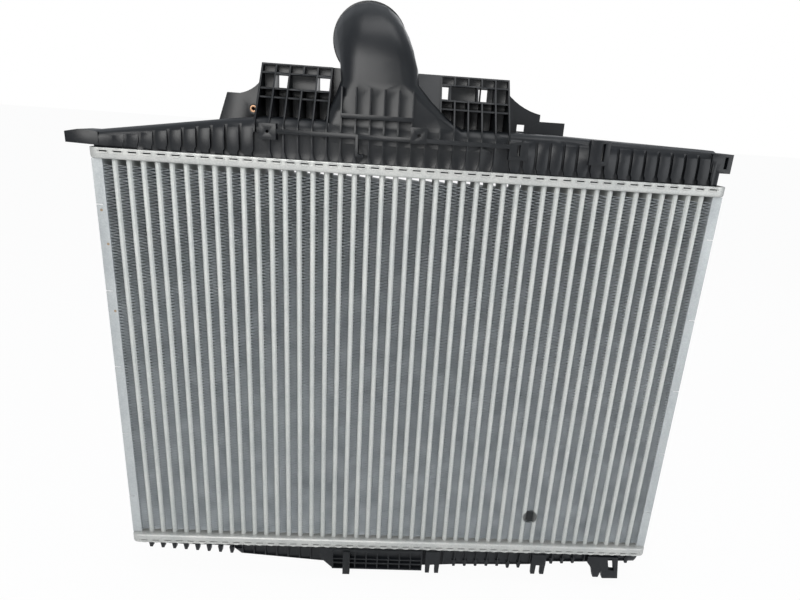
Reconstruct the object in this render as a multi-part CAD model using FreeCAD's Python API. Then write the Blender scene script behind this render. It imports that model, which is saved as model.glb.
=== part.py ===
import FreeCAD, Part
import math
import os

from FreeCAD import Vector

# Truck charge-air cooler: aluminium tube-and-fin core, header pans, side plates and two moulded tanks.
# Millimetres. X runs along the row of tubes, Y through the core from the front to the back, Z is up.
# The origin is on the underside of the bottom tank's pad, in the middle plane of the core both ways.

# Core
tube_count = 44
tube_pitch = 19.0
tube_width = 7.4
tube_wall = 0.6
core_depth = 56.0
core_height = 608.0
nose_flat = 3.4
nose_length = 2.2
tube_stick_out = 3.0
fin_recess = 1.5
fin_end_gap = 4.0

# Side plates
plate_sheet = 1.5
plate_flange = 14.2
plate_end_gap = 0.3
notch_height = 1.2
notch_reach = 9.0
notch_heights = [70.0, 185.0, 300.0, 420.0, 545.0]

# Header pans
header_sheet = 2.0
header_overhang = 8.0
header_rim_height = 14.6
header_end_margin = 1.0
header_bend = 3.0
header_corner = 12.0
slot_clearance = 0.1
slit_length = 10.5
slit_height = 1.8
slit_level = 9.4
header_tab_length = 10.0
header_tab_width = 22.0
header_tab_tip_width = 7.0
header_tab_level = 5.0

# Gaskets and tank feet
gasket_thickness = 3.0
gasket_width = 4.6
seal_clearance = 0.3
rim_clearance = 0.6
foot_thickness = 4.0
foot_clear_depth = 29.0
foot_clear_height = 14.0

# Moulded tank walls
tank_half_depth = 35.0
tank_wall = 3.0
rib_thickness = 2.2
groove_depth = 5.5
groove_width = 4.0
groove_foot_width = 8.5
groove_foot_height = 5.0
groove_foot_taper = 3.0
groove_top_rail = 5.0
cell_end_rail = 7.5
rib_flare_width = 8.0
rib_flare_height = 9.0
end_pinch = 6.0
end_pinch_run = 9.0
cap_profile = [(1.0, 0.5), (0.94, 0.76), (0.75, 0.93), (0.48, 1.0)]

# Top tank, heights above the top of the core
top_left_end = -432.0
top_left_height = 36.5
top_bend_left = -262.0
top_bend_height = 61.0
top_flat_left = -206.0
top_flat_right = 193.0
top_height = 68.0
top_right_end = 425.0
top_right_height = 62.0
top_end_corner = 9.0

# Bottom tank, heights below the bottom of the core
bottom_left_end = -425.0
bottom_right_end = 428.0
bottom_end_corner = 5.0
bottom_profile = [(-272.0, 23.0), (-259.0, 39.5), (-120.0, 54.0), (-104.0, 58.0), (60.0, 58.0),
                  (107.0, 54.0), (190.0, 51.5), (238.0, 49.0), (262.0, 40.0), (330.0, 38.0)]
bottom_left_height = 23.0
bottom_right_height = 34.0
least_rise = 1.5

# Teeth under the bottom tank: (first tube, last tube, depth of the first tip, depth of the last tip)
tooth_runs = [(0, 7, 26.0, 34.5), (27, 31, 49.5, 47.0), (32, 33, 50.5, 49.5), (36, 38, 39.0, 36.5),
              (43, 43, 33.0, 33.0)]
tooth_length = 12.0
tooth_root_width = 7.5
tooth_tip_width = 4.2
tooth_y = (-33.0, -24.0)

# Ribbed pad under the bottom tank, whose underside slopes down to its seat
pad_reach = 80.0
pad_left_tube = 16
pad_columns = 8
pad_rows = [(19.4, 33.2), (35.4, 41.0), (43.2, 52.8)]
pad_front = 40.0
pad_front_reach = 55.0
pad_seat_front = -12.0
pad_back = 24.0
pad_cell_depth = 9.0
pad_gusset_run = 21.0
pad_gusset_reach = 34.0
pad_gusset_y = (-38.0, -20.0)

# Bracket grids of the top tank: rows of rails between upright ribs that lean back
rail_heights = [92.8, 104.2, 124.8, 137.5]
grid_foot = 47.0
grid_columns = 5
left_grid_tube = 10
right_grid_tube = 23
bracket_back = 34.0
bracket_sheet = 3.0
lean_foot_height = 46.0
lean_foot_y = -33.5
lean_slope = 0.625
rib_front = [(-38.0, 47.0), (-36.5, 58.0), (-26.0, 70.0)]
window_side_margin = 1.2
window_rail_margin = 1.2
left_window_columns = [1, 4]
right_windows = [(2.0, 11.5), (53.0, 67.0)]
right_recess = (13.0, 51.0)
front_panel_sheet = 2.5
front_panel_run = 48.5
front_panel_foot = 60.0

# Shields beside the grids, measured along X from the grid's outer rib
left_shield_foot_reach = 71.0
left_shield_reach = 52.0
left_shield_shoulder = 34.5
left_shield_height = 96.0
left_shield_curve = 103.0
right_shield_reach = 89.0
right_shield_step = 52.0
right_shield_height = 94.5
right_shield_low_height = 85.0
right_shield_curve = 103.0
shield_grid_height = 122.0
shield_foot = 40.0
shield_window_x = (19.5, 30.5)
shield_window_height = (70.0, 79.0)

# Elbow duct: (height, left, right, front, back, corner radius) up to the start of its bend
duct_levels = [(40.0, -134.0, 110.0, -31.0, 32.0, 14.0),
               (56.0, -131.0, 86.0, -30.0, 33.0, 15.0),
               (66.0, -129.0, 62.0, -28.0, 34.5, 16.0),
               (80.0, -125.0, 40.0, -25.0, 37.0, 18.0),
               (100.0, -116.0, 17.0, -22.0, 41.0, 21.0)]
duct_neck = (-109.0, -3.0, -21.0, 44.0, 24.0)
bend_steps = 5
corner_facets = 4
section_flat = 0.5
spigot_shoulder = 1.5
bend_throat = 7.0
bend_centre_y = 66.0
mouth_x = -75.0
mouth_height = 178.0
mouth_radius = 50.0
mouth_wall = 4.0
mouth_end_y = 98.0
stop_rib_height = 3.0
stop_rib_width = 4.0

# Ribs at the root of the duct
root_first_tube = 16
root_last_tube = 21
root_rib_top = 112.0
root_rib_top_y = -26.0
root_rib_foot_y = -37.0
root_rib_back_y = -14.0
cross_bar_height = (73.0, 78.5)
cross_bar_y = (-37.0, -18.0)

# Long rib and screw bosses in front of the top tank
long_rib_front = 41.0
long_rib_low = 47.5
long_rib_thickness = 5.5
boss_front = 44.0
boss_half_width = 11.0
boss_half_height = 10.3
boss_hole_radius = 2.25
boss_hole_depth = 12.0
boss_left_tube = 11
boss_left_height = 49.5
boss_middle_x = 0.0
boss_middle_height = 56.5

# Clip sockets: tube, (left, right), (low, high), slot middle, (slot low, slot high), along X from that tube
left_socket = (28, (-0.5, 25.5), (33.0, 57.0), 12.5, (38.5, 53.0))
right_socket = (34, (-3.5, 23.5), (33.0, 66.0), 14.5, (39.0, 62.0))
socket_stand_out = 5.0
socket_slot_width = 4.4
socket_slot_depth = 8.0
hook_x = -84.0
hook_low = 24.0
hook_high = 53.0
hook_sheet = 3.5
hook_toe = 11.0
hook_front = 43.0

# Arm and lug at the ends of the top tank
arm_end = -468.0
arm_outline = [(0.0, 18.5), (43.0, 17.0), (43.0, 34.0), (31.0, 36.0), (17.0, 36.0), (0.0, 32.5)]
arm_y = (-30.0, 10.0)
arm_slot_reach = 22.0
arm_slot_depth = 30.0
arm_slot_height = 2.5
arm_slot_levels = [21.0, 25.5, 30.0]
arm_slot_front = -26.0
lug_x = (408.5, 438.0)
lug_y = (-33.0, 10.0)
lug_height = (33.0, 59.0)
lug_slot_x = (427.0, 431.5)
lug_slot_depth = 21.0
lug_slot_height = (39.0, 55.0)

# Threaded brass bush in the left shield
insert_x = -231.0
insert_height = 76.0
insert_outer_radius = 5.0
insert_inner_radius = 2.5
insert_length = 12.0
insert_front_y = 16.0
insert_boss_radius = 8.0

# Outlet at the back of the bottom tank: (y, half width, half height, corner) of its neck, then a round spigot
outlet_x = 0.0
outlet_radius = 35.0
outlet_wall = 4.0
outlet_height = 40.0
outlet_end_y = 92.0
outlet_neck = [(10.0, 66.0, 24.0, 20.0), (38.0, 58.0, 24.0, 22.0)]
outlet_round_y = 56.0

# Clips, lug and hook under the bottom tank, depths below the core
clip_places = [(66.5, 59.2), (251.3, 55.7)]
clip_low = 16.0
clip_half_width = 12.5
clip_y = (-40.0, -20.0)
prong_length = 18.5
prong_root_width = 8.4
prong_tip_width = 7.0
prong_offset = 8.0
prong_depth = 6.0
lower_lug_y = (-38.0, -30.0)
lower_lug_outline = [(338.0, 18.0), (391.0, 18.0), (397.0, 62.5), (369.0, 63.0), (365.0, 46.0), (361.5, 60.7),
                     (352.0, 60.7), (347.0, 42.0), (338.0, 30.0)]
lower_lug_window = [(373.0, 21.0), (382.5, 20.0), (388.0, 46.0), (378.3, 45.0)]
lower_hook_x = (-87.0, -75.0)
lower_hook_y = (-44.0, -38.0)
lower_hook_depth = (18.0, 63.0)

# Sizes worked out from the ones above
core_bottom = pad_reach
core_top = core_bottom + core_height
core_half_depth = core_depth / 2.0
fin_width = tube_pitch - tube_width
fin_count = tube_count + 1
core_half_width = fin_count * tube_pitch / 2.0 - tube_width / 2.0
plate_outer = core_half_width + plate_flange
header_half_length = plate_outer + header_end_margin
header_half_depth = core_half_depth + header_overhang
foot_half_length = header_half_length - header_sheet - seal_clearance
foot_half_depth = header_half_depth - header_sheet - seal_clearance
foot_corner = header_corner - header_sheet - seal_clearance
foot_base = header_sheet + gasket_thickness
foot_top = foot_base + foot_thickness
groove_base = header_rim_height + rim_clearance
wall_step = tank_half_depth - foot_half_depth
wall_start = groove_base + wall_step
groove_floor_y = -tank_half_depth + groove_depth
bracket_wall_y = bracket_back - bracket_sheet
bend_radius = mouth_radius + bend_throat
bend_low = mouth_height - bend_radius
cut_margin = 1.0
far_margin = 20.0


def tube_x(index):
    """Middle of a tube, counted from 0 at the left."""
    return (index - (tube_count - 1) / 2.0) * tube_pitch


def fin_x(index):
    """Middle of a fin strip, counted from 0 at the left."""
    return (index - (fin_count - 1) / 2.0) * tube_pitch


def box(x_range, y_range, z_range):
    """A block given by its lowest and highest place along each axis."""
    corner = Vector(x_range[0], y_range[0], z_range[0])
    return Part.makeBox(x_range[1] - x_range[0], y_range[1] - y_range[0], z_range[1] - z_range[0], corner)


def prism_along_x(outline, x_range):
    """A solid whose outline is given as (y, z) points."""
    points = [Vector(x_range[0], y, z) for y, z in outline]
    face = Part.Face(Part.makePolygon(points + points[:1]))
    return face.extrude(Vector(x_range[1] - x_range[0], 0, 0))


def prism_along_y(outline, y_range):
    """A solid whose outline is given as (x, z) points."""
    points = [Vector(x, y_range[0], z) for x, z in outline]
    face = Part.Face(Part.makePolygon(points + points[:1]))
    return face.extrude(Vector(0, y_range[1] - y_range[0], 0))


def prism_along_z(outline, z_range):
    """A solid whose outline is given as (x, y) points."""
    points = [Vector(x, y, z_range[0]) for x, y in outline]
    face = Part.Face(Part.makePolygon(points + points[:1]))
    return face.extrude(Vector(0, 0, z_range[1] - z_range[0]))


def bar_along_y(radius, x, height, y_range):
    """A round bar that runs front to back."""
    return Part.makeCylinder(radius, y_range[1] - y_range[0], Vector(x, y_range[0], height), Vector(0, 1, 0))


def join(shapes):
    """Fuse a list of solids into one."""
    first, rest = shapes[0], shapes[1:]
    return first.fuse(rest) if rest else first


def to_top(shape):
    """Move a shape that is modelled upwards from the core's end to the top of the core."""
    return shape.translated(Vector(0, 0, core_top))


def to_bottom(shape):
    """Turn a shape that is modelled upwards from the core's end over, to hang below the core."""
    return shape.mirror(Vector(0, 0, 0), Vector(0, 0, 1)).translated(Vector(0, 0, core_bottom))


def tube_outline(middle, grow):
    """Cross-section of a flat tube with blunt noses, as (x, y) points, grown by a clearance."""
    half_width = tube_width / 2.0 + grow
    half_depth = core_half_depth + grow
    flat = nose_flat / 2.0 + grow
    shoulder = core_half_depth - nose_length
    quarter = [(half_width, shoulder), (flat, half_depth)]
    right = quarter + [(-x, y) for x, y in reversed(quarter)]
    both = right + [(-x, -y) for x, y in right]
    return [(middle + x, y) for x, y in both]


def make_tube(index):
    """One flat tube, open at both ends, standing through both header floors."""
    middle = tube_x(index)
    low = core_bottom - header_sheet - tube_stick_out
    high = core_top + header_sheet + tube_stick_out
    bore_width = tube_width / 2.0 - tube_wall
    bore_depth = core_half_depth - nose_length / 2.0 - tube_wall
    outside = prism_along_z(tube_outline(middle, 0.0), (low, high))
    bore = box((middle - bore_width, middle + bore_width), (-bore_depth, bore_depth), (low, high))
    return outside.cut(bore)


def make_fins():
    """The fin strips, each as one block of its true width, depth and height."""
    half_depth = core_half_depth - fin_recess
    strips = []
    for index in range(fin_count):
        middle = fin_x(index)
        strips.append(box((middle - fin_width / 2.0, middle + fin_width / 2.0),
                          (-half_depth, half_depth),
                          (core_bottom + fin_end_gap, core_top - fin_end_gap)))
    return Part.makeCompound(strips)


def make_side_plate(side):
    """A folded channel against the outermost fin strip, with its flanges pointing outwards."""
    low = core_bottom + plate_end_gap
    high = core_top - plate_end_gap
    inner = core_half_width
    outline = [(inner, -core_half_depth), (plate_outer, -core_half_depth),
               (plate_outer, -core_half_depth + plate_sheet),
               (inner + plate_sheet, -core_half_depth + plate_sheet),
               (inner + plate_sheet, core_half_depth - plate_sheet),
               (plate_outer, core_half_depth - plate_sheet),
               (plate_outer, core_half_depth), (inner, core_half_depth)]
    plate = prism_along_z(outline, (low, high))
    notches = [box((plate_outer - notch_reach, plate_outer + cut_margin),
                   (-core_half_depth - cut_margin, core_half_depth + cut_margin),
                   (core_bottom + height, core_bottom + height + notch_height))
               for height in notch_heights]
    plate = plate.cut(Part.makeCompound(notches))
    if side < 0:
        plate = plate.mirror(Vector(0, 0, 0), Vector(1, 0, 0))
    return plate


def rounded_plate(half_length, half_depth, corner, z_range):
    """A flat plate over the whole core whose upright corners are rounded."""
    return faceted_body([rounded_section((-half_length, half_length), (-half_depth, half_depth), corner,
                                         level_at(z)) for z in z_range])


def header_blank():
    """The pan before it is slotted: a floor, a rim, rounded lower edges and two pointed end tabs."""
    sections = []
    for degrees in (0.0, 30.0, 60.0, 90.0):
        angle = math.radians(degrees)
        inset = header_bend * (1.0 - math.sin(angle))
        height = header_bend * (1.0 - math.cos(angle))
        half_length = header_half_length - inset
        half_depth = header_half_depth - inset
        sections.append(rounded_section((-half_length, half_length), (-half_depth, half_depth),
                                        header_corner - inset, level_at(height)))
    sections.append(rounded_section((-header_half_length, header_half_length),
                                    (-header_half_depth, header_half_depth),
                                    header_corner, level_at(header_rim_height)))
    inside = rounded_plate(header_half_length - header_sheet, header_half_depth - header_sheet,
                           header_corner - header_sheet, (header_sheet, header_rim_height + cut_margin))
    root = header_half_length - header_sheet / 2.0
    tip = header_half_length + header_tab_length
    tab_outline = [(root, -header_tab_width / 2.0), (tip, -header_tab_tip_width / 2.0),
                   (tip, header_tab_tip_width / 2.0), (root, header_tab_width / 2.0)]
    right_tab = prism_along_z(tab_outline, (header_tab_level, header_tab_level + header_sheet))
    left_tab = right_tab.mirror(Vector(0, 0, 0), Vector(1, 0, 0))
    return faceted_body(sections).cut(inside).fuse([right_tab, left_tab])


def make_header():
    """A header pan with a slot for every tube and a slit in its front rim below every fin strip."""
    floor = (-cut_margin, header_sheet + cut_margin)
    slots = [prism_along_z(tube_outline(tube_x(index), slot_clearance), floor) for index in range(tube_count)]
    slits = []
    for index in range(fin_count):
        middle = fin_x(index)
        slits.append(box((middle - slit_length / 2.0, middle + slit_length / 2.0),
                         (-header_half_depth - cut_margin, -header_half_depth + header_sheet + cut_margin),
                         (slit_level, slit_level + slit_height)))
    return header_blank().cut(Part.makeCompound(slots + slits)).removeSplitter()


def make_gasket():
    """A flat rubber frame between the header floor and the tank's foot."""
    frame = rounded_plate(foot_half_length, foot_half_depth, foot_corner, (header_sheet, foot_base))
    window = box((-foot_half_length + gasket_width, foot_half_length - gasket_width),
                 (-foot_half_depth + gasket_width, foot_half_depth - gasket_width),
                 (header_sheet - cut_margin, foot_base + cut_margin))
    return frame.cut(window).removeSplitter()


def faceted_body(sections):
    """A solid with flat facets through closed sections that have the same number of corners."""
    faces = [Part.Face(Part.makePolygon(section + section[:1])) for section in (sections[0], sections[-1])]
    for near, far in zip(sections, sections[1:]):
        for index, corner in enumerate(near):
            after = (index + 1) % len(near)
            faces.append(Part.Face(Part.makePolygon([corner, near[after], far[after], corner])))
            faces.append(Part.Face(Part.makePolygon([corner, far[after], far[index], corner])))
    return Part.Solid(Part.Shell(faces))


def dome_section(x, height, inset, low):
    """Closed cross-section of a tank at x: a neck inside the rim, upright walls and a round cap."""
    half_depth = tank_half_depth - inset
    neck = half_depth - wall_step
    rise = max(height - inset - wall_start, least_rise)
    front = [(-neck, low), (-neck, groove_base), (-half_depth, wall_start)]
    front += [(-half_depth * share, wall_start + rise * level) for share, level in cap_profile]
    closed = front + [(-y, z) for y, z in reversed(front)]
    return [Vector(x, y, z) for y, z in closed]


def tank_dome(stations):
    """The outside of a tank through its stations (x, height), narrowed where its end walls begin."""
    left, right = stations[0][0], stations[-1][0]
    sections = []
    for x, height in stations:
        pinch = end_pinch * max(0.0, 1.0 - min(x - left, right - x) / end_pinch_run)
        sections.append([Vector(point.x, math.copysign(abs(point.y) - pinch, point.y), point.z)
                         for point in dome_section(x, height, 0.0, foot_base)])
    return faceted_body(sections)


def height_at(stations, x):
    """Height of the tank at x, between its stations."""
    for (x0, h0), (x1, h1) in zip(stations, stations[1:]):
        if x0 <= x <= x1:
            return h0 + (h1 - h0) * (x - x0) / (x1 - x0)
    return stations[-1][1]


def round_off(x, height, corner_radius):
    """Stations of the rounded right end corner, from the tank's top to its end wall."""
    corner = []
    for degrees in (0.0, 45.0, 90.0):
        angle = math.radians(degrees)
        back = corner_radius * (1.0 - math.sin(angle))
        drop = corner_radius * (1.0 - math.cos(angle))
        corner.append((x - back, height - drop))
    return corner


def tank_cavity(stations, corner_radius):
    """The air space of a tank, widened at its foot so that no tube end is covered."""
    inset = groove_depth + tank_wall
    left = stations[0][0] + end_pinch_run
    right = stations[-1][0] - end_pinch_run
    low = foot_base - cut_margin
    inner = [(left, height_at(stations, left))]
    inner += [(x, height) for x, height in stations if left < x < right - corner_radius]
    inner.append((right, height_at(stations, right - corner_radius)))
    main = faceted_body([dome_section(x, height, inset, low) for x, height in inner])
    foot = box((left, right), (-foot_clear_depth, foot_clear_depth), (low, foot_clear_height))
    return main.fuse(foot)


def make_foot():
    """The foot plate round the tank's opening, which sits on the gasket inside the rim."""
    return rounded_plate(foot_half_length, foot_half_depth, foot_corner, (foot_base, foot_top))


def narrow_groove(x, height):
    """Cutter for a narrow groove between two broad ribs, wider at its foot."""
    half = groove_width / 2.0
    foot = groove_foot_width / 2.0
    foot_end = groove_base + groove_foot_height
    neck = foot_end + groove_foot_taper
    top = height - groove_top_rail
    right = [(foot, groove_base), (foot, foot_end), (half, neck), (half, top)]
    outline = [(x + along, z) for along, z in right] + [(x - along, z) for along, z in reversed(right)]
    return prism_along_y(outline, (-tank_half_depth - far_margin, groove_floor_y))


def wide_cell(x, low, high):
    """Cutter that leaves a thin rib on each side of one tube pitch."""
    clear = (tube_pitch - rib_thickness) / 2.0
    return box((x - clear, x + clear), (-tank_half_depth - far_margin, groove_floor_y), (low, high))


def rib_flare(x):
    """The foot of a thin rib, where it spreads towards the rim."""
    half = rib_flare_width / 2.0
    slim = rib_thickness / 2.0
    outline = [(x - half, groove_base), (x + half, groove_base), (x + slim, groove_base + rib_flare_height),
               (x - slim, groove_base + rib_flare_height)]
    return prism_along_y(outline, (-tank_half_depth, groove_floor_y + cut_margin))


def rib_range(x):
    """The two faces of a thin upright rib that stands in front of a tube."""
    return (x - rib_thickness / 2.0, x + rib_thickness / 2.0)


def lean_y(height):
    """Front of the bracket ribs: it leans back as it rises."""
    return lean_foot_y + lean_slope * (height - lean_foot_height)


def behind_lean(x_range, low, high):
    """The space between the leaning front and the back wall of the brackets."""
    outline = [(lean_y(low), low), (bracket_back, low), (bracket_back, high), (lean_y(high), high)]
    return prism_along_x(outline, x_range)


def bracket_grid(first_tube, missing_ribs, recess, windows):
    """One grid of ribs and rails in front of the back wall, with windows through its third row."""
    top = rail_heights[-1]
    window_low = rail_heights[1] + rib_thickness / 2.0
    window_high = rail_heights[2] - rib_thickness / 2.0
    left = rib_range(tube_x(first_tube))[0]
    right = rib_range(tube_x(first_tube + grid_columns))[1]
    pieces = []
    for column in range(grid_columns + 1):
        x = tube_x(first_tube + column)
        outline = rib_front + [(lean_y(top), top), (bracket_back, top), (bracket_back, rib_front[0][1])]
        rib = prism_along_x(outline, rib_range(x))
        if column in missing_ribs:
            rib = rib.cut(box((x - rib_thickness, x + rib_thickness), (rib_front[0][0], bracket_wall_y),
                              (window_low, window_high)))
        pieces.append(rib)
    for height in rail_heights[:-1]:
        pieces.append(behind_lean((left, right), height - rib_thickness / 2.0, height + rib_thickness / 2.0))
    pieces.append(behind_lean((left, right), top - rib_thickness, top))
    for x in recess:
        pieces.append(behind_lean(rib_range(x), window_low, window_high))
    holes = [box(x_range, (bracket_wall_y - cut_margin, bracket_back + cut_margin),
                 (window_low + window_rail_margin, window_high - window_rail_margin)) for x_range in windows]
    back = box((left, right), (bracket_wall_y, bracket_back), (grid_foot, top))
    pieces.append(back.cut(Part.makeCompound(holes)))
    return pieces


def make_brackets():
    """Both grids, the wall that joins them behind the duct and the plain panel beside it."""
    left_windows = [(tube_x(left_grid_tube + column) + window_side_margin,
                     tube_x(left_grid_tube + column + 1) - window_side_margin)
                    for column in left_window_columns]
    pieces = bracket_grid(left_grid_tube, [3], [], left_windows)
    right_grid = tube_x(right_grid_tube)
    recess = [right_grid + along for along in right_recess]
    right_holes = [(right_grid + start, right_grid + end) for start, end in right_windows]
    pieces += bracket_grid(right_grid_tube, [1, 2, 3], recess, right_holes)
    top = rail_heights[-1]
    panel_left = right_grid - front_panel_run
    pieces.append(box((tube_x(left_grid_tube + grid_columns), right_grid), (bracket_wall_y, bracket_back),
                      (grid_foot, top)))
    foot_y = lean_y(front_panel_foot)
    top_y = lean_y(top)
    panel = [(foot_y, front_panel_foot), (foot_y + front_panel_sheet, front_panel_foot),
             (top_y + front_panel_sheet, top), (top_y, top)]
    pieces.append(prism_along_x(panel, (panel_left, right_grid)))
    pieces.append(behind_lean((panel_left, right_grid), top - rib_thickness, top))
    return pieces


def shield(straight, arc):
    """A plate in the plane of the brackets' back wall, with one hollow curve."""
    edges = [Part.LineSegment(Vector(x0, bracket_wall_y, z0), Vector(x1, bracket_wall_y, z1)).toShape()
             for (x0, z0), (x1, z1) in zip(straight, straight[1:])]
    start, middle, end = [Vector(x, bracket_wall_y, z) for x, z in arc]
    edges.append(Part.Arc(start, middle, end).toShape())
    return Part.Face(Part.Wire(edges)).extrude(Vector(0, bracket_sheet, 0))


def make_shields():
    """The plain plates that carry on from the grids to the tank's top."""
    left = tube_x(left_grid_tube)
    left_arc = [(left - left_shield_shoulder, left_shield_height),
                (left - left_shield_shoulder / 2.0, left_shield_curve), (left, shield_grid_height)]
    left_plate = shield([left_arc[2], (left, shield_foot), (left - left_shield_foot_reach, shield_foot),
                         (left - left_shield_reach, left_shield_height), left_arc[0]], left_arc)
    right = tube_x(right_grid_tube + grid_columns)
    step = right + right_shield_step
    edge = right + right_shield_reach
    right_arc = [(right, shield_grid_height), ((right + step) / 2.0, right_shield_curve),
                 (step, right_shield_height)]
    right_plate = shield([right_arc[2], (step, right_shield_low_height), (edge, right_shield_low_height),
                          (edge, shield_foot), (right, shield_foot), right_arc[0]], right_arc)
    window_x = [right + along for along in shield_window_x]
    window = box(window_x, (bracket_wall_y - cut_margin, bracket_back + cut_margin), shield_window_height)
    return [left_plate, right_plate.cut(window)]


def rounded_section(x_range, d_range, corner, to_point):
    """Corners of a rounded rectangle. to_point turns (x, d) into a place in the section's plane."""
    x0, x1 = x_range
    d0, d1 = d_range
    centres = [(x0 + corner, d0 + corner, 180.0), (x1 - corner, d0 + corner, 270.0),
               (x1 - corner, d1 - corner, 0.0), (x0 + corner, d1 - corner, 90.0)]
    points = []
    for x, d, start in centres:
        for step in range(corner_facets + 1):
            angle = math.radians(start + 90.0 * step / corner_facets)
            points.append(to_point(x + corner * math.cos(angle), d + corner * math.sin(angle)))
    return points


def level_at(height):
    """Places in a level plane at a height above the core."""
    return lambda x, d: Vector(x, d, height)


def turned_by(angle):
    """Places in a plane that has turned about the inside of the duct's bend."""
    def place(x, d):
        reach = bend_centre_y - d
        return Vector(x, bend_centre_y - reach * math.cos(angle), bend_low + reach * math.sin(angle))
    return place


def upright_at(y):
    """Places in an upright plane across the core, with d as the height."""
    return lambda x, d: Vector(x, y, d)


def duct_body(inset):
    """The elbow from the tank's top to its round mouth, shrunk by an inset to make its inside."""
    middle = bend_centre_y - bend_radius
    radius = mouth_radius + spigot_shoulder
    mouth = (mouth_x - radius, mouth_x + radius, middle - radius, middle + radius, radius - section_flat)
    sections = [(level_at(height), shape) for height, *shape in duct_levels]
    sections.append((level_at(bend_low), duct_neck))
    for step in range(1, bend_steps + 1):
        part = step / bend_steps
        ease = part * part * (3.0 - 2.0 * part)
        shape = [start + (end - start) * ease for start, end in zip(duct_neck, mouth)]
        sections.append((turned_by(math.radians(90.0 * part)), shape))
    return faceted_body([rounded_section((left + inset, right - inset), (front + inset, back - inset),
                                         corner - inset, place)
                         for place, (left, right, front, back, corner) in sections])


def spigot(radius, wall, x, height, start_y, end_y):
    """A round hose spigot with a stop rib at its inner end, and the cutter of its bore."""
    tube = bar_along_y(radius, x, height, (start_y, end_y))
    rib = bar_along_y(radius + stop_rib_height, x, height, (start_y, start_y + stop_rib_width))
    bore = bar_along_y(radius - wall, x, height, (start_y - cut_margin, end_y + cut_margin))
    return tube.fuse(rib), bore


def make_root_ribs():
    """The ribs on the front of the duct's root, and the bar across them."""
    outline = [(root_rib_foot_y, long_rib_low), (root_rib_top_y, root_rib_top),
               (root_rib_back_y, root_rib_top), (root_rib_back_y, long_rib_low)]
    ribs = [prism_along_x(outline, rib_range(tube_x(index)))
            for index in range(root_first_tube, root_last_tube + 1)]
    bar = box((tube_x(root_first_tube), tube_x(root_last_tube)), cross_bar_y, cross_bar_height)
    return ribs + [bar]


def screw_boss(x, height):
    """A square pad with a blind screw hole: the pad and the cutter of its hole."""
    pad = box((x - boss_half_width, x + boss_half_width), (-boss_front, groove_floor_y + cut_margin),
              (height - boss_half_height, height + boss_half_height))
    hole = bar_along_y(boss_hole_radius, x, height, (-boss_front - cut_margin, -boss_front + boss_hole_depth))
    return pad, hole


def clip_socket(tube, x_range, z_range, slot_x, slot_z):
    """A socket block for a clip beside a tube, and the cutter of its upright slot."""
    start = tube_x(tube)
    front = -tank_half_depth - socket_stand_out
    block = box((start + x_range[0], start + x_range[1]), (front, groove_floor_y), z_range)
    middle = start + slot_x
    slot = box((middle - socket_slot_width / 2.0, middle + socket_slot_width / 2.0),
               (front - cut_margin, front + socket_slot_depth), slot_z)
    return block, slot


def make_hook():
    """The small hook that hangs in front of the tank's middle."""
    y_range = (-hook_front, groove_floor_y)
    return [box((hook_x, hook_x + hook_sheet), y_range, (hook_low, hook_high)),
            box((hook_x, hook_x + hook_toe), y_range, (hook_low, hook_low + hook_sheet))]


def make_arm():
    """The arm at the left end of the top tank, and the cutters of the slots in its end."""
    arm = prism_along_y([(arm_end + along, z) for along, z in arm_outline], arm_y)
    slots = [box((arm_end - cut_margin, arm_end + arm_slot_reach),
                 (arm_slot_front, arm_slot_front + arm_slot_depth), (level, level + arm_slot_height))
             for level in arm_slot_levels]
    return arm, slots


def make_tank_top():
    """The top tank: ribbed shell, elbow duct, bracket grids, shields, bosses, sockets, arm and lug."""
    stations = [(top_left_end, top_left_height), (top_bend_left, top_bend_height),
                (top_flat_left, top_height), (top_flat_right, top_height)]
    stations += round_off(top_right_end, top_right_height, top_end_corner)
    left_edge = tube_x(left_grid_tube)
    right_edge = tube_x(right_grid_tube + grid_columns)
    grooves = [narrow_groove(tube_x(index), height_at(stations, tube_x(index))) for index in range(tube_count)
               if not left_edge < tube_x(index) < right_edge]
    cells = [wide_cell(fin_x(index), groove_base, long_rib_low) for index in range(fin_count)
             if left_edge < fin_x(index) < right_edge]
    flares = [rib_flare(tube_x(index)) for index in range(tube_count)
              if left_edge < tube_x(index) < right_edge]
    shell = tank_dome(stations).fuse(make_foot()).cut(Part.makeCompound(grooves + cells)).fuse(flares)

    boss_left_x = tube_x(boss_left_tube)
    long_rib = box((boss_left_x, right_edge), (-long_rib_front, groove_floor_y + cut_margin),
                   (long_rib_low, long_rib_low + long_rib_thickness))
    boss_left, hole_left = screw_boss(boss_left_x, boss_left_height)
    boss_middle, hole_middle = screw_boss(boss_middle_x, boss_middle_height)
    socket_left, slot_left = clip_socket(*left_socket)
    socket_right, slot_right = clip_socket(*right_socket)
    arm, arm_grooves = make_arm()
    lug = box(lug_x, lug_y, lug_height)
    lug_slot = box(lug_slot_x, (lug_y[0] - cut_margin, lug_y[0] + lug_slot_depth), lug_slot_height)
    insert_boss = bar_along_y(insert_boss_radius, insert_x, insert_height,
                              (insert_front_y, bracket_wall_y + cut_margin))
    insert_hole = bar_along_y(insert_outer_radius, insert_x, insert_height,
                              (insert_front_y - cut_margin, insert_front_y + insert_length))
    mouth, mouth_bore = spigot(mouth_radius, mouth_wall, mouth_x, mouth_height, bend_centre_y, mouth_end_y)

    solids = [shell, duct_body(0.0), mouth, long_rib, boss_left, boss_middle, socket_left, socket_right,
              arm, lug, insert_boss]
    solids += make_brackets() + make_shields() + make_root_ribs() + make_hook()
    holes = [tank_cavity(stations, top_end_corner), duct_body(mouth_wall), mouth_bore, hole_left, hole_middle,
             slot_left, slot_right, lug_slot, insert_hole]
    holes += arm_grooves
    return join(solids).cut(Part.makeCompound(holes)).removeSplitter()


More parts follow.
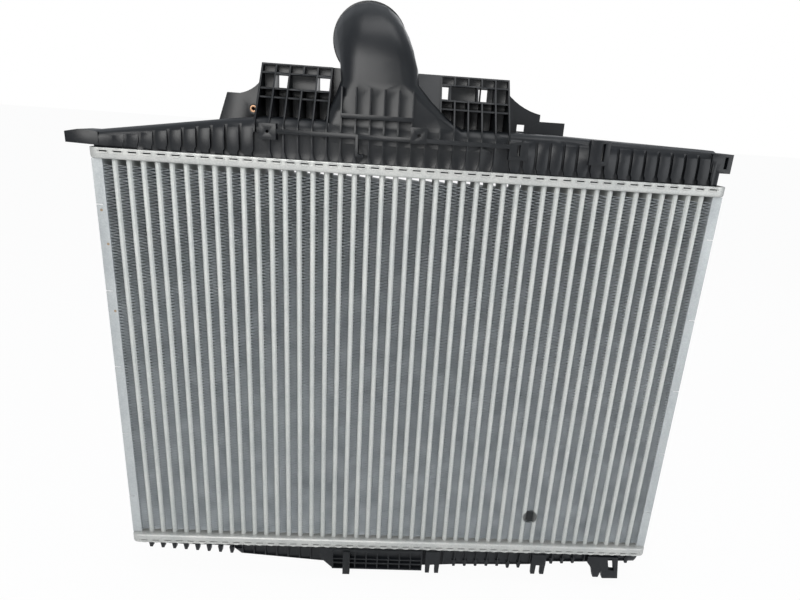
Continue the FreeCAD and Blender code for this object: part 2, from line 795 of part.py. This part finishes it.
def make_insert():
    """The threaded brass bush in the left shield's boss."""
    end_y = insert_front_y + insert_length
    bush = bar_along_y(insert_outer_radius, insert_x, insert_height, (insert_front_y, end_y))
    bore = bar_along_y(insert_inner_radius, insert_x, insert_height,
                       (insert_front_y - cut_margin, end_y + cut_margin))
    return bush.cut(bore)


def make_pad():
    """The ribbed pad in the middle of the bottom tank, open to the front in rows of cells."""
    left = rib_range(tube_x(pad_left_tube))[0]
    right = rib_range(tube_x(pad_left_tube + pad_columns))[1]
    outline = [(-pad_front, groove_base), (-pad_front, pad_front_reach), (pad_seat_front, pad_reach),
               (pad_back, pad_reach), (pad_back, groove_base)]
    gusset = prism_along_y([(left, groove_base), (left, pad_front_reach),
                            (left - pad_gusset_run, pad_gusset_reach), (left - pad_gusset_run, groove_base)],
                           pad_gusset_y)
    cell_y = (-pad_front - cut_margin, -pad_front + pad_cell_depth)
    cells = []
    for column in range(pad_columns):
        x0 = rib_range(tube_x(pad_left_tube + column))[1]
        x1 = rib_range(tube_x(pad_left_tube + column + 1))[0]
        cells += [box((x0, x1), cell_y, row) for row in pad_rows]
    return [prism_along_x(outline, (left, right)).cut(Part.makeCompound(cells)), gusset]


def taper(x, root_width, tip_width, z_range, y_range):
    """An upright tooth that narrows from its root to its tip."""
    root = root_width / 2.0
    tip = tip_width / 2.0
    outline = [(x - root, z_range[0]), (x + root, z_range[0]), (x + tip, z_range[1]), (x - tip, z_range[1])]
    return prism_along_y(outline, y_range)


def make_teeth():
    """The teeth that stand out under the bottom tank, one at a tube."""
    teeth = []
    for first, last, first_tip, last_tip in tooth_runs:
        for index in range(first, last + 1):
            share = (index - first) / max(last - first, 1)
            tip = first_tip + (last_tip - first_tip) * share
            z_range = (tip - tooth_length, tip)
            teeth.append(taper(tube_x(index), tooth_root_width, tooth_tip_width, z_range, tooth_y))
    return teeth


def pronged_clip(x, reach):
    """A clip block with two prongs pointing away from the core."""
    front = clip_y[0]
    block_end = reach - prong_length
    pieces = [box((x - clip_half_width, x + clip_half_width), clip_y, (clip_low, block_end))]
    for side in (-1, 1):
        pieces.append(taper(x + side * prong_offset, prong_root_width, prong_tip_width,
                            (block_end - cut_margin, reach), (front, front + prong_depth)))
    return pieces


def outlet_neck_body(inset, level):
    """The flattened neck that turns round towards the outlet spigot."""
    radius = outlet_radius + spigot_shoulder
    shapes = outlet_neck + [(outlet_round_y, radius, radius, radius - section_flat)]
    return faceted_body([rounded_section((outlet_x - half_width + inset, outlet_x + half_width - inset),
                                         (level - half_height + inset, level + half_height - inset),
                                         corner - inset, upright_at(y))
                         for y, half_width, half_height, corner in shapes])


def make_tank_bottom():
    """The bottom tank, modelled upwards from the core's end and then turned over."""
    pad_left = tube_x(pad_left_tube)
    pad_right = tube_x(pad_left_tube + pad_columns)
    stations = [(bottom_left_end, bottom_left_height)] + bottom_profile
    stations += round_off(bottom_right_end, bottom_right_height, bottom_end_corner)
    cells = []
    for index in range(1, fin_count - 1):
        x = fin_x(index)
        height = height_at(stations, x)
        end = height + cut_margin if height <= bottom_left_height else height - cell_end_rail
        if not pad_left < x < pad_right:
            cells.append(wide_cell(x, groove_base, end))
    shell = tank_dome(stations).fuse(make_foot()).cut(Part.makeCompound(cells))

    lug = prism_along_y(lower_lug_outline, lower_lug_y)
    window_y = (lower_lug_y[0] - cut_margin, lower_lug_y[1] + cut_margin)
    lug_window = prism_along_y(lower_lug_window, window_y)
    hook = box(lower_hook_x, lower_hook_y, lower_hook_depth)
    level = pad_reach - outlet_height
    outlet, outlet_bore = spigot(outlet_radius, outlet_wall, outlet_x, level, outlet_round_y, outlet_end_y)

    solids = [shell, lug, hook, outlet_neck_body(0.0, level), outlet] + make_pad() + make_teeth()
    for x, reach in clip_places:
        solids += pronged_clip(x, reach)
    holes = [tank_cavity(stations, bottom_end_corner), outlet_neck_body(outlet_wall, level), outlet_bore,
             lug_window]
    body = join(solids).cut(Part.makeCompound(holes)).removeSplitter()
    return to_bottom(body)


def main():
    os.makedirs("parts", exist_ok=True)
    nodes = {}
    for index in range(tube_count):
        nodes["tube_%02d" % (index + 1)] = make_tube(index)
    nodes["fins"] = make_fins()
    nodes["side_plate_left"] = make_side_plate(-1)
    nodes["side_plate_right"] = make_side_plate(1)
    header = make_header()
    nodes["header_top"] = to_top(header)
    nodes["header_bottom"] = to_bottom(header)
    gasket = make_gasket()
    nodes["gasket_top"] = to_top(gasket)
    nodes["gasket_bottom"] = to_bottom(gasket)
    nodes["tank_top"] = to_top(make_tank_top())
    nodes["tank_bottom"] = make_tank_bottom()
    nodes["brass_insert"] = to_top(make_insert())
    for name, shape in nodes.items():
        shape.exportStep("parts/%s.step" % name)


main()
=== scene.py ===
import math

import bpy
import numpy as np
from mathutils import Euler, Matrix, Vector


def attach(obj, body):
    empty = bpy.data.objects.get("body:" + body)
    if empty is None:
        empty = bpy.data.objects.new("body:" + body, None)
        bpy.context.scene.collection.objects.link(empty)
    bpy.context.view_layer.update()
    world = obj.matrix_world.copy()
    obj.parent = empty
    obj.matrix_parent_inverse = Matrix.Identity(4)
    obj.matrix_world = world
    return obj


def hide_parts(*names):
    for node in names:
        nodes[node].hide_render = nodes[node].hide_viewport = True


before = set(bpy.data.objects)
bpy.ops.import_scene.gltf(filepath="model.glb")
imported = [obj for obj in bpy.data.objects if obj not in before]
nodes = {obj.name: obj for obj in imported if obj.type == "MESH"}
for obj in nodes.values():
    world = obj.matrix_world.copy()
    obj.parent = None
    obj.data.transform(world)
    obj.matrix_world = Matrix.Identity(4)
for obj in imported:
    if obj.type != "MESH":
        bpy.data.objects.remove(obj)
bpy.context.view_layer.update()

mm = 0.001

# Sizes shared with the solids, in millimetres
tube_count = 44
tube_pitch = 19.0
tube_width = 7.4
core_low = 80.0
core_high = 688.0
core_half_depth = 28.0
fin_recess = 1.5
fin_end_gap = 4.0
header_front = -36.0

# The folded foil of the fins, in millimetres
fin_wave = 4.73
fin_foil = 0.28
fin_crest = 0.75
fin_sag = 4.0

# The lips on the header pans, in millimetres
slit_from_core = 10.3
slit_lip_half_length = 7.0
slit_lip_half_height = 3.1
pocket_from_core = 9.4
pocket_half_length = 7.4
pocket_half_height = 4.8
lip_width = 1.7
lip_height = 0.8
lip_bury = 0.2

# How finely a lip is drawn along its path and across it, and a whole turn in degrees
lip_path_steps = 28
lip_section_steps = 6
full_turn = 360.0

# Edges: rounding widths in millimetres, and the angle from which an edge counts as one
tube_edge = 0.7
plate_edge = 0.5
header_edge = 0.35
tank_edge = 0.45
insert_edge = 0.4
edge_segments = 2
crease_degrees = 38
weld_distance = 0.01

# Darkest and lightest tone of each material, as linear colours
tube_tones = ((0.39, 0.41, 0.40), (0.50, 0.51, 0.49))
plate_tones = ((0.34, 0.36, 0.37), (0.43, 0.45, 0.45))
header_tones = ((0.37, 0.38, 0.37), (0.49, 0.49, 0.47))
insert_tones = ((0.34, 0.19, 0.11), (0.47, 0.29, 0.18))
fin_tones = ((0.40, 0.43, 0.45), (0.57, 0.60, 0.62))
plastic_tones = ((0.004, 0.005, 0.006), (0.008, 0.009, 0.011))
rubber_tones = ((0.012, 0.012, 0.012), (0.03, 0.03, 0.03))

# How much of a metal's tone comes from its fine mottling, and how far roughness strays from its middle
mottle_share = 0.55
metal_smoother = 0.08
metal_rougher = 0.12
plastic_stray = 0.1

# Marks seen on the metal, as places on the front of the core
ink_mark = (228.4, -28.0, 132.8)
ink_mark_radius = 13.0
ink_colour = (0.012, 0.012, 0.012)
plate_stains = [(-431.8, -28.0, 617.8), (-427.6, -28.0, 570.2), (-428.1, -28.0, 470.4)]
plate_stain_radius = 2.0
rust_colour = (0.25, 0.16, 0.08)
stain_inner_edge = 0.85
stain_outer_edge = 1.05
stain_cover = 0.85

# Lamps: name, place and size in millimetres, power in watts, colour
lamps = [
    ("key", (-900.0, -2600.0, 1700.0), (1800.0, 1800.0), 62.0, (1.0, 0.99, 0.97)),
    ("fill", (2000.0, -1900.0, 900.0), (1600.0, 1600.0), 20.0, (0.96, 0.98, 1.0)),
    ("above", (100.0, -300.0, 2700.0), (1600.0, 1000.0), 12.0, (1.0, 1.0, 1.0)),
    ("behind", (700.0, 2500.0, 1500.0), (1600.0, 1600.0), 8.0, (1.0, 1.0, 1.0)),
]
lamp_target = (0.0, 0.0, 450.0)
surroundings_below = (0.20, 0.20, 0.20)
surroundings_above = (0.55, 0.58, 0.62)
floor_half_size = 30000.0
floor_tone = (0.8, 0.8, 0.8)
floor_glow = 0.95
white = (1.0, 1.0, 1.0)

# Camera fitted to the photograph, which is 800 pixels wide
photo_width = 800.0
photo_height = 600.0
focal_pixels = 580.0
view_centre_pixel = (425.7, 310.7)
camera_place = (-21.4, -848.0, 768.9)
camera_degrees = (71.529, -3.754, -2.043)
camera_clip = (0.01, 100.0)
sensor_width = 36.0

tube_names = ["tube_%02d" % (index + 1) for index in range(tube_count)]


def new_object(name, mesh):
    """Link a mesh as a new piece."""
    piece = bpy.data.objects.new(name, mesh)
    bpy.context.scene.collection.objects.link(piece)
    return piece


def mesh_from(name, vertices, faces):
    """A mesh from points in millimetres and faces."""
    mesh = bpy.data.meshes.new(name)
    mesh.from_pydata([(x * mm, y * mm, z * mm) for x, y, z in vertices], [], faces)
    mesh.update()
    return mesh


class Shader:
    """A short way to write a node material. Noise scales count per metre."""

    def __init__(self, name):
        self.material = bpy.data.materials.new(name)
        self.material.use_nodes = True
        self.tree = self.material.node_tree
        self.tree.nodes.clear()
        self.output = self.add("ShaderNodeOutputMaterial")
        self.surface = self.add("ShaderNodeBsdfPrincipled")
        self.link(self.surface, "BSDF", self.output, "Surface")
        self.place = self.add("ShaderNodeTexCoord")

    def add(self, kind, **settings):
        """A new node with the given settings."""
        node = self.tree.nodes.new(kind)
        for key, value in settings.items():
            setattr(node, key, value)
        return node

    def link(self, start, start_socket, end, end_socket):
        """Join one node's output to another node's input."""
        self.tree.links.new(start.outputs[start_socket], end.inputs[end_socket])

    def set(self, **values):
        """Set plain values on the surface, with _ for each space in their names."""
        for key, value in values.items():
            self.surface.inputs[key.replace("_", " ")].default_value = value

    def colour(self, source):
        """Use an output as the surface's colour."""
        self.tree.links.new(source, self.surface.inputs["Base Color"])

    def noise(self, scale, detail, stretch=(1.0, 1.0, 1.0)):
        """Noise over the object, drawn out along each axis whose stretch is below 1."""
        mapping = self.add("ShaderNodeMapping")
        mapping.inputs["Scale"].default_value = stretch
        self.link(self.place, "Object", mapping, "Vector")
        node = self.add("ShaderNodeTexNoise")
        node.inputs["Scale"].default_value = scale
        node.inputs["Detail"].default_value = detail
        self.link(mapping, "Vector", node, "Vector")
        return node

    def tone(self, source, socket, tones, places):
        """A colour that runs from the darkest to the lightest tone between two values of a source."""
        node = self.add("ShaderNodeValToRGB")
        for element, colour, place in zip(node.color_ramp.elements, tones, places):
            element.position = place
            element.color = (*colour, 1.0)
        self.link(source, socket, node, "Fac")
        return node.outputs["Color"]

    def roughness(self, source, low, high):
        """Let the surface's roughness follow a noise, from low to high."""
        node = self.add("ShaderNodeMapRange")
        node.inputs["To Min"].default_value = low
        node.inputs["To Max"].default_value = high
        self.link(source, "Fac", node, "Value")
        self.link(node, "Result", self.surface, "Roughness")

    def spot(self, below, place, radius, colour):
        """Mix a round stain into a colour, from its place and radius in millimetres."""
        distance = self.add("ShaderNodeVectorMath", operation="DISTANCE")
        distance.inputs[1].default_value = [value * mm for value in place]
        self.link(self.place, "Object", distance, 0)
        share = self.add("ShaderNodeMapRange")
        share.inputs["From Min"].default_value = radius * stain_inner_edge * mm
        share.inputs["From Max"].default_value = radius * stain_outer_edge * mm
        share.inputs["To Min"].default_value = stain_cover
        share.inputs["To Max"].default_value = 0.0
        self.link(distance, "Value", share, "Value")
        mix = self.add("ShaderNodeMix", data_type="RGBA")
        share_socket, below_socket, above_socket, result_socket = 0, 6, 7, 2
        mix.inputs[above_socket].default_value = (*colour, 1.0)
        self.link(share, "Result", mix, share_socket)
        self.tree.links.new(below, mix.inputs[below_socket])
        return mix.outputs[result_socket]

    def bump(self, source, height):
        """Raise the surface by a texture, with its height in millimetres."""
        node = self.add("ShaderNodeBump")
        node.inputs["Distance"].default_value = height * mm
        self.link(source, "Fac", node, "Height")
        self.link(node, "Normal", self.surface, "Normal")


def metal(name, tones, roughness, metallic, stretch, grain_height, stains=()):
    """A metal whose tone varies slowly, with fine mottling, drawn streaks and a little relief."""
    shader = Shader(name)
    shader.set(Metallic=metallic)
    cloud = shader.noise(scale=22.0, detail=4.0)
    mottle = shader.noise(scale=520.0, detail=3.0)
    blend = shader.add("ShaderNodeMix", data_type="FLOAT")
    share_socket, first_socket, second_socket = 0, 2, 3
    blend.inputs[share_socket].default_value = mottle_share
    shader.link(cloud, "Fac", blend, first_socket)
    shader.link(mottle, "Fac", blend, second_socket)
    colour = shader.tone(blend, "Result", tones, places=(0.36, 0.62))
    for place, radius, stain in stains:
        colour = shader.spot(colour, place, radius, stain)
    shader.colour(colour)
    streak = shader.noise(scale=60.0, detail=5.0, stretch=stretch)
    shader.roughness(streak, roughness - metal_smoother, roughness + metal_rougher)
    shader.bump(mottle, grain_height)
    return shader.material


def moulded_plastic(name, tones, roughness, specular):
    """Glass-filled black plastic: satin, with a fine moulded grain and faint flow marks."""
    shader = Shader(name)
    shader.set(Specular_IOR_Level=specular)
    cloud = shader.noise(scale=9.0, detail=5.0)
    shader.colour(shader.tone(cloud, "Fac", tones, places=(0.35, 0.7)))
    flow = shader.noise(scale=26.0, detail=4.0, stretch=(1.0, 1.0, 0.25))
    shader.roughness(flow, roughness - plastic_stray, roughness + plastic_stray)
    grain = shader.noise(scale=900.0, detail=2.0)
    shader.bump(grain, height=0.06)
    return shader.material


def fin_metal():
    """Thin fin foil with its rows of louvres as fine relief from front to back."""
    shader = Shader("fin_foil")
    shader.set(Metallic=0.5)
    cloud = shader.noise(scale=30.0, detail=4.0)
    tone = shader.tone(cloud, "Fac", fin_tones, places=(0.3, 0.7))
    shader.colour(shader.spot(tone, ink_mark, ink_mark_radius, ink_colour))
    shader.roughness(cloud, low=0.42, high=0.6)
    louvre = shader.add("ShaderNodeTexWave", wave_type="BANDS", bands_direction="Y")
    louvre.inputs["Scale"].default_value = 260.0
    shader.link(shader.place, "Object", louvre, "Vector")
    shader.bump(louvre, height=0.4)
    return shader.material


def rubber():
    """Matt black seal rubber."""
    shader = Shader("seal_rubber")
    dust = shader.noise(scale=60.0, detail=4.0)
    shader.colour(shader.tone(dust, "Fac", rubber_tones, places=(0.3, 0.8)))
    shader.roughness(dust, low=0.65, high=0.9)
    return shader.material


def set_material(piece, material):
    """Give a piece one material in all its slots."""
    piece.data.materials.clear()
    piece.data.materials.append(material)


def smoothing_group():
    """A modifier group that shades smooth and keeps edges sharper than the crease angle."""
    tree = bpy.data.node_groups.new("smooth_to_%d" % crease_degrees, "GeometryNodeTree")
    tree.interface.new_socket("Geometry", in_out="INPUT", socket_type="NodeSocketGeometry")
    tree.interface.new_socket("Geometry", in_out="OUTPUT", socket_type="NodeSocketGeometry")
    start = tree.nodes.new("NodeGroupInput")
    end = tree.nodes.new("NodeGroupOutput")
    faces = tree.nodes.new("GeometryNodeSetShadeSmooth")
    faces.domain = "FACE"
    edges = tree.nodes.new("GeometryNodeSetShadeSmooth")
    edges.domain = "EDGE"
    edges.inputs["Shade Smooth"].default_value = False
    angle = tree.nodes.new("GeometryNodeInputMeshEdgeAngle")
    compare = tree.nodes.new("FunctionNodeCompare")
    compare.operation = "GREATER_THAN"
    compare.inputs["B"].default_value = math.radians(crease_degrees)
    tree.links.new(start.outputs["Geometry"], faces.inputs["Geometry"])
    tree.links.new(faces.outputs["Geometry"], edges.inputs["Geometry"])
    tree.links.new(angle.outputs["Unsigned Angle"], compare.inputs["A"])
    tree.links.new(compare.outputs["Result"], edges.inputs["Selection"])
    tree.links.new(edges.outputs["Geometry"], end.inputs["Geometry"])
    return tree


def soften(piece, width, group):
    """Join split corners, round the edges and shade smooth, all as modifiers."""
    weld = piece.modifiers.new("weld", "WELD")
    weld.merge_threshold = weld_distance * mm
    bevel = piece.modifiers.new("bevel", "BEVEL")
    bevel.limit_method = "ANGLE"
    bevel.angle_limit = math.radians(crease_degrees)
    bevel.width = width * mm
    bevel.segments = edge_segments
    bevel.use_clamp_overlap = True
    smooth = piece.modifiers.new("smooth", "NODES")
    smooth.node_group = group


def fin_x(index):
    """Middle of a fin strip, counted from 0 at the left."""
    return (index - tube_count / 2.0) * tube_pitch


def ribbon_line():
    """The folded middle line of one fin strip, x from its middle and z from the floor.

    Beside it come the steps of half the foil's thickness across the line."""
    half_width = (tube_pitch - tube_width) / 2.0 - fin_foil
    low = core_low + fin_end_gap
    waves = int((core_high - core_low - 2.0 * fin_end_gap) / fin_wave)
    half = fin_wave / 2.0
    line = []
    for wave in range(waves):
        z = low + wave * fin_wave
        line += [(-half_width, z), (-half_width, z + fin_crest), (half_width, z + half),
                 (half_width, z + half + fin_crest)]
    line.append((-half_width, low + waves * fin_wave))
    line = np.array(line)
    along = np.gradient(line, axis=0)
    along /= np.linalg.norm(along, axis=1)[:, None]
    across = np.stack([-along[:, 1], along[:, 0]], 1) * fin_foil / 2.0
    return line, across


def make_fin_ribbons(name, strips, material):
    """Fin strips, each as one folded ribbon of foil that dips towards the middle of its depth."""
    line, across = ribbon_line()
    count = len(line)
    reach = core_half_depth - fin_recess
    low = core_low + fin_end_gap
    stations = [(-reach, 0.0), (0.0, fin_sag), (reach, 0.0)]
    vertices = []
    faces = []
    for strip in strips:
        x = fin_x(strip)
        base = len(vertices)
        for side in (1.0, -1.0):
            for y, sag in stations:
                vertices += [(x + px, y, max(pz - sag, low)) for px, pz in line + across * side]
        rows = [base + row * count for row in range(2 * len(stations))]
        outer, inner = rows[:len(stations)], rows[len(stations):]
        for step in range(count - 1):
            after = step + 1
            for near, far in zip(outer, outer[1:]):
                faces.append((near + step, near + after, far + after, far + step))
            for near, far in zip(inner, inner[1:]):
                faces.append((near + after, near + step, far + step, far + after))
            faces.append((outer[0] + after, outer[0] + step, inner[0] + step, inner[0] + after))
            faces.append((outer[-1] + step, outer[-1] + after, inner[-1] + after, inner[-1] + step))
        last = count - 1
        faces.append((*outer, *reversed(inner)))
        faces.append(tuple(row + last for row in (*inner, *reversed(outer))))
    piece = new_object(name, mesh_from(name, vertices, faces))
    set_material(piece, material)
    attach(piece, "root")
    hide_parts("fins")


def make_lips(name, level, half_length, half_height, start_degrees, end_degrees, material, group):
    """Raised lips pressed into the front of a header, one beside each fin strip."""
    closed = end_degrees - start_degrees >= full_turn
    section = [math.pi * step / lip_section_steps for step in range(lip_section_steps + 1)]
    width = len(section)
    stops = lip_path_steps if closed else lip_path_steps + 1
    vertices = []
    faces = []
    for strip in range(tube_count + 1):
        base = len(vertices)
        for step in range(stops):
            angle = math.radians(start_degrees + (end_degrees - start_degrees) * step / lip_path_steps)
            out_x = math.cos(angle) / half_length
            out_z = math.sin(angle) / half_height
            size = math.hypot(out_x, out_z)
            middle_x = fin_x(strip) + half_length * math.cos(angle)
            middle_z = level + half_height * math.sin(angle)
            for turn in section:
                offset = lip_width / 2.0 * math.cos(turn)
                vertices.append((middle_x + offset * out_x / size,
                                 header_front + lip_bury - (lip_height + lip_bury) * math.sin(turn),
                                 middle_z + offset * out_z / size))
        for step in range(lip_path_steps):
            near = base + step * width
            far = base + (step + 1) % stops * width
            for turn in range(width):
                after = (turn + 1) % width
                faces.append((near + turn, near + after, far + after, far + turn))
        if not closed:
            faces.append(tuple(base + turn for turn in reversed(range(width))))
            faces.append(tuple(base + lip_path_steps * width + turn for turn in range(width)))
    piece = new_object(name, mesh_from(name, vertices, faces))
    set_material(piece, material)
    smooth = piece.modifiers.new("smooth", "NODES")
    smooth.node_group = group
    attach(piece, "root")


def make_world():
    """White to the camera, and as a light a gradient from grey below to a paler blue-grey above."""
    world = bpy.data.worlds.new("studio")
    bpy.context.scene.world = world
    world.use_nodes = True
    tree = world.node_tree
    tree.nodes.clear()
    output = tree.nodes.new("ShaderNodeOutputWorld")
    light = tree.nodes.new("ShaderNodeBackground")
    place = tree.nodes.new("ShaderNodeTexCoord")
    parts = tree.nodes.new("ShaderNodeSeparateXYZ")
    height = tree.nodes.new("ShaderNodeMapRange")
    height.inputs["From Min"].default_value = -1.0
    ramp = tree.nodes.new("ShaderNodeValToRGB")
    ramp.color_ramp.elements[0].color = (*surroundings_below, 1.0)
    ramp.color_ramp.elements[1].color = (*surroundings_above, 1.0)
    tree.links.new(place.outputs["Generated"], parts.inputs["Vector"])
    tree.links.new(parts.outputs["Z"], height.inputs["Value"])
    tree.links.new(height.outputs["Result"], ramp.inputs["Fac"])
    tree.links.new(ramp.outputs["Color"], light.inputs["Color"])
    backdrop = tree.nodes.new("ShaderNodeBackground")
    backdrop.inputs["Color"].default_value = (*white, 1.0)
    path = tree.nodes.new("ShaderNodeLightPath")
    seen = tree.nodes.new("ShaderNodeMath")
    seen.operation = "MAXIMUM"
    mix = tree.nodes.new("ShaderNodeMixShader")
    tree.links.new(path.outputs["Is Camera Ray"], seen.inputs[0])
    tree.links.new(path.outputs["Is Transmission Ray"], seen.inputs[1])
    tree.links.new(seen.outputs[0], mix.inputs["Fac"])
    tree.links.new(light.outputs["Background"], mix.inputs[1])
    tree.links.new(backdrop.outputs["Background"], mix.inputs[2])
    tree.links.new(mix.outputs["Shader"], output.inputs["Surface"])


def make_floor():
    """A plain pale floor that keeps a faint shadow."""
    half = floor_half_size
    corners = [(-half, -half, 0.0), (half, -half, 0.0), (half, half, 0.0), (-half, half, 0.0)]
    floor = new_object("floor", mesh_from("floor", corners, [(0, 1, 2, 3)]))
    material = bpy.data.materials.new("pale_floor")
    material.use_nodes = True
    tree = material.node_tree
    tree.nodes.clear()
    output = tree.nodes.new("ShaderNodeOutputMaterial")
    diffuse = tree.nodes.new("ShaderNodeBsdfDiffuse")
    diffuse.inputs["Color"].default_value = (*floor_tone, 1.0)
    glow = tree.nodes.new("ShaderNodeEmission")
    glow.inputs["Color"].default_value = (*white, 1.0)
    path = tree.nodes.new("ShaderNodeLightPath")
    share = tree.nodes.new("ShaderNodeMath")
    share.operation = "MULTIPLY"
    share.inputs[1].default_value = floor_glow
    mix = tree.nodes.new("ShaderNodeMixShader")
    tree.links.new(path.outputs["Is Camera Ray"], share.inputs[0])
    tree.links.new(share.outputs[0], mix.inputs["Fac"])
    tree.links.new(diffuse.outputs["BSDF"], mix.inputs[1])
    tree.links.new(glow.outputs["Emission"], mix.inputs[2])
    tree.links.new(mix.outputs["Shader"], output.inputs["Surface"])
    floor.data.materials.append(material)


def make_light(name, place, size, power, colour):
    """A soft rectangular lamp aimed at the lamps' target."""
    lamp = bpy.data.lights.new(name, "AREA")
    lamp.shape = "RECTANGLE"
    lamp.size = size[0] * mm
    lamp.size_y = size[1] * mm
    lamp.energy = power
    lamp.color = colour
    holder = bpy.data.objects.new(name, lamp)
    bpy.context.scene.collection.objects.link(holder)
    holder.location = Vector(place) * mm
    holder.rotation_euler = (Vector(lamp_target) - Vector(place)).to_track_quat("-Z", "Y").to_euler()


def make_camera():
    """The camera of the photograph."""
    data = bpy.data.cameras.new("camera")
    camera = bpy.data.objects.new("camera", data)
    bpy.context.scene.collection.objects.link(camera)
    data.sensor_width = sensor_width
    data.lens = focal_pixels / photo_width * sensor_width
    data.shift_x = (photo_width / 2.0 - view_centre_pixel[0]) / photo_width
    data.shift_y = (view_centre_pixel[1] - photo_height / 2.0) / photo_width
    data.clip_start, data.clip_end = camera_clip
    camera.location = Vector(camera_place) * mm
    camera.rotation_euler = Euler([math.radians(value) for value in camera_degrees], "XYZ")
    bpy.context.scene.camera = camera


def main():
    bpy.context.scene.view_settings.view_transform = "Standard"
    smooth = smoothing_group()
    tube_metal = metal("tube_metal", tube_tones, roughness=0.55, metallic=0.2,
                       stretch=(1.0, 1.0, 0.06), grain_height=0.08,
                       stains=[(ink_mark, ink_mark_radius, ink_colour)])
    plate_metal = metal("plate_metal", plate_tones, roughness=0.45, metallic=0.3,
                        stretch=(1.0, 1.0, 0.2), grain_height=0.06,
                        stains=[(place, plate_stain_radius, rust_colour) for place in plate_stains])
    header_metal = metal("header_metal", header_tones, roughness=0.4, metallic=0.4,
                         stretch=(0.2, 1.0, 1.0), grain_height=0.06)
    plastic = moulded_plastic("black_plastic", plastic_tones, roughness=0.34, specular=0.36)
    brass = metal("insert_metal", insert_tones, roughness=0.4, metallic=0.85,
                  stretch=(1.0, 1.0, 1.0), grain_height=0.03)
    looks = [
        (tube_names, tube_metal, tube_edge),
        (["side_plate_left", "side_plate_right"], plate_metal, plate_edge),
        (["header_top", "header_bottom"], header_metal, header_edge),
        (["tank_top", "tank_bottom"], plastic, tank_edge),
        (["brass_insert"], brass, insert_edge),
    ]
    for names, material, edge in looks:
        for name in names:
            set_material(nodes[name], material)
            soften(nodes[name], edge, smooth)
    for name in ("gasket_top", "gasket_bottom"):
        set_material(nodes[name], rubber())
    foil = fin_metal()
    strip_count = tube_count + 1
    left_strips = strip_count // 2
    make_fin_ribbons("fin_ribbons_left", range(left_strips), foil)
    make_fin_ribbons("fin_ribbons_right", range(left_strips, strip_count), foil)
    make_lips("slit_lips_top", core_high + slit_from_core, slit_lip_half_length, slit_lip_half_height,
              0.0, full_turn, header_metal, smooth)
    make_lips("pocket_lips_bottom", core_low - pocket_from_core, pocket_half_length, pocket_half_height,
              full_turn / 2.0, full_turn, header_metal, smooth)
    make_world()
    make_floor()
    for lamp in lamps:
        make_light(*lamp)
    make_camera()


main()
